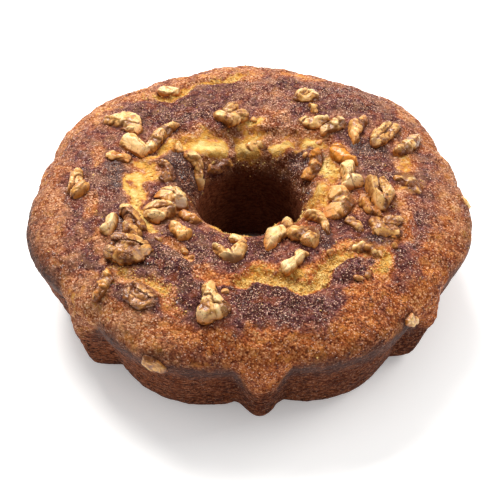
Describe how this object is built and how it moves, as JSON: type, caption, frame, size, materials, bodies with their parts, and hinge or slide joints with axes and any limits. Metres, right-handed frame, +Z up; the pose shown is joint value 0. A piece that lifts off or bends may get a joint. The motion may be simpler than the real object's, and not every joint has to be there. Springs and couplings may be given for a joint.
{
  "type": "cinnamon walnut ring cake",
  "caption": "Fluted ring cake with a cinnamon sugar crust, yellow crumb in its cracks and chopped walnuts over its domed top.",
  "frame": {"origin": "centre of the bounding box in plan, at the base that the cake rests on", "axes": "+Z is up through the hole, from the base to the walnut side; -Y is the front of the cake as pictured and +X its right"},
  "size_m": [0.2462, 0.2502, 0.0788],
  "materials": {
    "crust": "rough baked crust with sugar on it",
    "walnut": "toasted, slightly oily"
  },
  "bodies": {
    "root": {"cake": "crust", "walnut_01": "walnut", "walnut_02": "walnut", "walnut_03": "walnut", "walnut_04": "walnut", "walnut_05": "walnut", "walnut_06": "walnut", "walnut_07": "walnut", "walnut_08": "walnut", "walnut_09": "walnut", "walnut_10": "walnut", "walnut_11": "walnut", "walnut_12": "walnut", "walnut_13": "walnut", "walnut_14": "walnut", "walnut_15": "walnut", "walnut_16": "walnut", "walnut_17": "walnut", "walnut_18": "walnut", "walnut_19": "walnut", "walnut_20": "walnut", "walnut_21": "walnut", "walnut_22": "walnut", "walnut_23": "walnut", "walnut_24": "walnut", "walnut_25": "walnut", "walnut_26": "walnut", "walnut_27": "walnut", "walnut_28": "walnut", "walnut_29": "walnut", "walnut_30": "walnut", "walnut_31": "walnut", "walnut_32": "walnut", "walnut_33": "walnut", "walnut_34": "walnut", "walnut_35": "walnut", "walnut_36": "walnut", "walnut_37": "walnut", "walnut_38": "walnut", "walnut_39": "walnut", "walnut_40": "walnut", "walnut_41": "walnut", "walnut_42": "walnut", "walnut_43": "walnut", "walnut_44": "walnut", "walnut_45": "walnut", "walnut_46": "walnut", "walnut_47": "walnut", "walnut_48": "walnut", "walnut_49": "walnut"}
  },
  "joints": []
}
